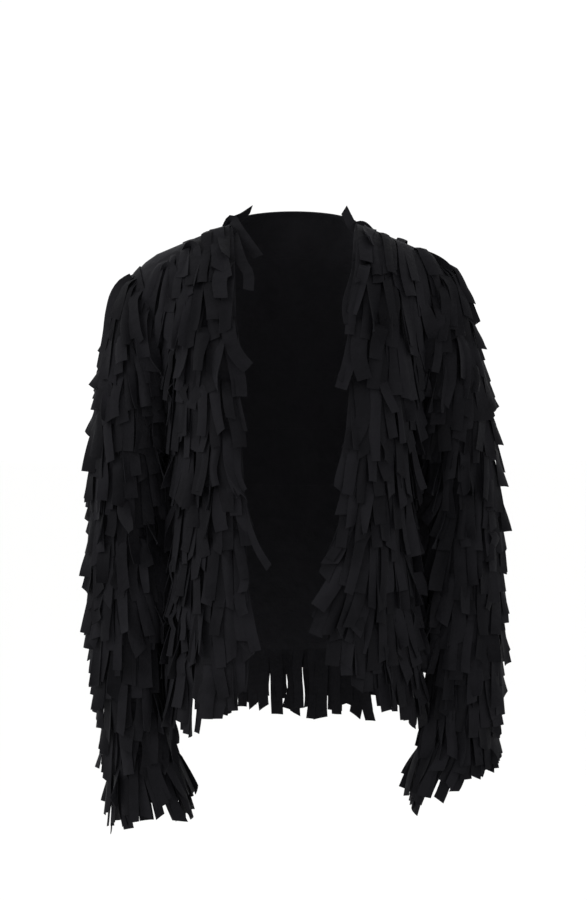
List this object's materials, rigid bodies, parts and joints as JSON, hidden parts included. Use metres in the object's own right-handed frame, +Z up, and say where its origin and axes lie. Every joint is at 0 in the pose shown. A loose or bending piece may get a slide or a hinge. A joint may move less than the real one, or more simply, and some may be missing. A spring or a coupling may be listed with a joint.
{
  "type": "fringe jacket",
  "caption": "Collarless open-front jacket, worn and hollow, with long sleeves and tiers of cut fringe all over.",
  "frame": {"origin": "middle of the neck, level with the points where neck and shoulder seam meet", "axes": "+Z up the wearer, -Y the way the wearer faces, +X to the wearer's left"},
  "size_m": [0.5455, 0.2609, 0.7911],
  "materials": {
    "black_knit": "matt knit with a faint sheen",
    "black_fringe": "matt, cut raw-edged strips"
  },
  "bodies": {
    "root": {"back": "black_knit", "right_front": "black_knit", "left_front": "black_knit", "right_sleeve": "black_knit", "left_sleeve": "black_knit", "back_fringe_01": "black_fringe", "back_fringe_02": "black_fringe", "back_fringe_03": "black_fringe", "back_fringe_04": "black_fringe", "back_fringe_05": "black_fringe", "back_fringe_06": "black_fringe", "back_fringe_07": "black_fringe", "back_fringe_08": "black_fringe", "back_fringe_09": "black_fringe", "right_front_fringe_01": "black_fringe", "right_front_fringe_02": "black_fringe", "right_front_fringe_03": "black_fringe", "right_front_fringe_04": "black_fringe", "right_front_fringe_05": "black_fringe", "right_front_fringe_06": "black_fringe", "right_front_fringe_07": "black_fringe", "right_front_fringe_08": "black_fringe", "right_front_fringe_09": "black_fringe", "left_front_fringe_01": "black_fringe", "left_front_fringe_02": "black_fringe", "left_front_fringe_03": "black_fringe", "left_front_fringe_04": "black_fringe", "left_front_fringe_05": "black_fringe", "left_front_fringe_06": "black_fringe", "left_front_fringe_07": "black_fringe", "left_front_fringe_08": "black_fringe", "left_front_fringe_09": "black_fringe", "right_sleeve_fringe_01": "black_fringe", "right_sleeve_fringe_02": "black_fringe", "right_sleeve_fringe_03": "black_fringe", "right_sleeve_fringe_04": "black_fringe", "right_sleeve_fringe_05": "black_fringe", "right_sleeve_fringe_06": "black_fringe", "right_sleeve_fringe_07": "black_fringe", "right_sleeve_fringe_08": "black_fringe", "right_sleeve_fringe_09": "black_fringe", "right_sleeve_fringe_10": "black_fringe", "right_sleeve_fringe_11": "black_fringe", "right_sleeve_fringe_12": "black_fringe", "left_sleeve_fringe_01": "black_fringe", "left_sleeve_fringe_02": "black_fringe", "left_sleeve_fringe_03": "black_fringe", "left_sleeve_fringe_04": "black_fringe", "left_sleeve_fringe_05": "black_fringe", "left_sleeve_fringe_06": "black_fringe", "left_sleeve_fringe_07": "black_fringe", "left_sleeve_fringe_08": "black_fringe", "left_sleeve_fringe_09": "black_fringe", "left_sleeve_fringe_10": "black_fringe", "left_sleeve_fringe_11": "black_fringe", "left_sleeve_fringe_12": "black_fringe"}
  },
  "joints": []
}
